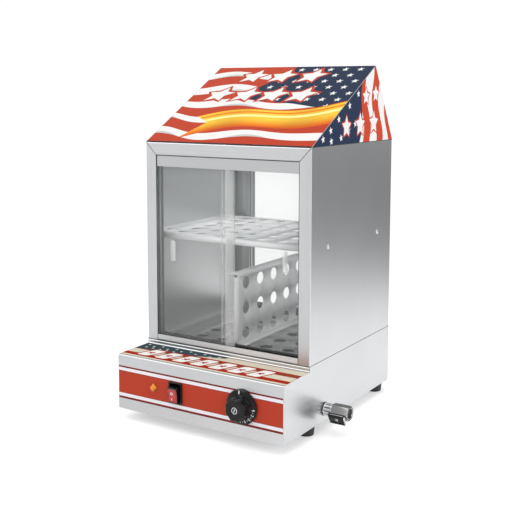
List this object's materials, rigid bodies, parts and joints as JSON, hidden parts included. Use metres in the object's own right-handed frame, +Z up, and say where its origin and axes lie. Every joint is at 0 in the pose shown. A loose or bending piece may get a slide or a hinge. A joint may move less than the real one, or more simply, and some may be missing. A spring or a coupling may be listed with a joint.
{
  "type": "hot dog steamer",
  "caption": "Counter-top hot dog steamer: steel cabinet with sliding glass doors on a stepped heated base with dial, rocker switch and drain valve, under a slanted sign roof.",
  "frame": {"origin": "floor level, under the middle of the whole footprint, which counts the knob, the valve and the cable gland", "axes": "+Z up, -Y towards the front with the controls, +X towards the side with the drain valve"},
  "size_m": [0.3456, 0.399, 0.5545],
  "materials": {
    "stainless": "brushed",
    "deep_stainless": "satin",
    "sign_print": "printed film on sheet steel",
    "glass": "clear",
    "grey_aluminium": "satin anodised",
    "black_gasket": "extruded",
    "frosted_pull": "frosted, translucent",
    "black_knob": "moulded",
    "black_switch": "moulded",
    "red_rocker": "translucent",
    "amber_lens": "translucent, faceted",
    "chrome": "polished",
    "nickel": "satin nickel plate",
    "screw_steel": "plain",
    "rubber": "matt",
    "brass": "turned",
    "white_plastic": "moulded"
  },
  "bodies": {
    "cabinet": {"base_front_panel": "stainless", "base_side_left": "stainless", "base_side_right": "stainless", "base_rear_panel": "stainless", "base_bottom_plate": "deep_stainless", "rubber_feet": "rubber", "feet_screws": "screw_steel", "deck_plate": "stainless", "tank_bottom": "deep_stainless", "tank_walls": "deep_stainless", "tank_ends": "deep_stainless", "cabinet_side_left": "stainless", "cabinet_side_right": "stainless", "roof_panel": "stainless", "sill_front": "stainless", "sill_rear": "stainless", "track_lower_front": "black_gasket", "track_lower_rear": "black_gasket", "track_upper_front": "grey_aluminium", "track_upper_rear": "grey_aluminium", "door_channels_front": "grey_aluminium", "door_channels_rear": "grey_aluminium", "shelf_brackets": "stainless", "shelf_screws": "screw_steel", "shelf_nuts": "screw_steel", "sign_front_panel": "sign_print", "sign_back_panel": "stainless", "sign_gable_left": "sign_print", "sign_gable_right": "sign_print", "thermostat_body": "white_plastic", "thermostat_bulb": "brass", "switch_housing": "black_switch", "lamp_housing": "black_switch", "lamp_lens": "amber_lens", "heating_element": "deep_stainless", "tank_nuts": "brass", "thermal_cutout": "black_switch", "terminal_block": "white_plastic", "cable_gland": "black_gasket", "drain_pipe": "chrome", "drain_washer": "rubber", "valve_body": "nickel"},
    "door_front_left": {"glass_front_left": "glass", "pull_front_left": "frosted_pull"},
    "door_front_right": {"glass_front_right": "glass", "pull_front_right": "frosted_pull"},
    "door_rear_left": {"glass_rear_left": "glass", "pull_rear_left": "frosted_pull"},
    "door_rear_right": {"glass_rear_right": "glass", "pull_rear_right": "frosted_pull"},
    "thermostat_dial": {"thermostat_knob": "black_knob", "knob_cap": "chrome", "thermostat_shaft": "screw_steel"},
    "power_rocker": {"switch_rocker": "red_rocker"},
    "drain_handle": {"valve_plug": "chrome", "valve_lever": "black_switch", "lever_screw": "screw_steel"},
    "shelf": {"bun_shelf": "deep_stainless"},
    "steam_floor": {"steam_plate": "deep_stainless"},
    "divider": {"divider_plate": "stainless"}
  },
  "joints": [
    {"name": "front_left_door_slide", "type": "slide", "parent": "cabinet", "child": "door_front_left", "axis": [1, 0, 0], "range_m": [0, 0.121]},
    {"name": "front_right_door_slide", "type": "slide", "parent": "cabinet", "child": "door_front_right", "axis": [-1, 0, 0], "range_m": [0, 0.121]},
    {"name": "rear_left_door_slide", "type": "slide", "parent": "cabinet", "child": "door_rear_left", "axis": [-1, 0, 0], "range_m": [0, 0.113]},
    {"name": "rear_right_door_slide", "type": "slide", "parent": "cabinet", "child": "door_rear_right", "axis": [1, 0, 0], "range_m": [0, 0.113]},
    {"name": "thermostat_turn", "type": "hinge", "parent": "cabinet", "child": "thermostat_dial", "pos_m": [0.0595, -0.1745, 0.0627], "axis": [0, 1, 0], "range_deg": [0, 270]},
    {"name": "rocker_tilt", "type": "hinge", "parent": "cabinet", "child": "power_rocker", "pos_m": [-0.0599, -0.1755, 0.061], "axis": [-1, 0, 0], "range_deg": [0, 16]},
    {"name": "drain_lever_turn", "type": "hinge", "parent": "cabinet", "child": "drain_handle", "pos_m": [0.1559, -0.052, 0.036], "axis": [0, -0.866, -0.5], "range_deg": [0, 90]},
    {"name": "bun_shelf_lift", "type": "slide", "parent": "cabinet", "child": "shelf", "axis": [0, 0, 1], "range_m": [0, 0.1]},
    {"name": "steam_plate_lift", "type": "slide", "parent": "cabinet", "child": "steam_floor", "axis": [0, 0, 1], "range_m": [0, 0.018]},
    {"name": "divider_lift", "type": "slide", "parent": "steam_floor", "child": "divider", "axis": [0, 0, 1], "range_m": [0, 0.018]}
  ]
}
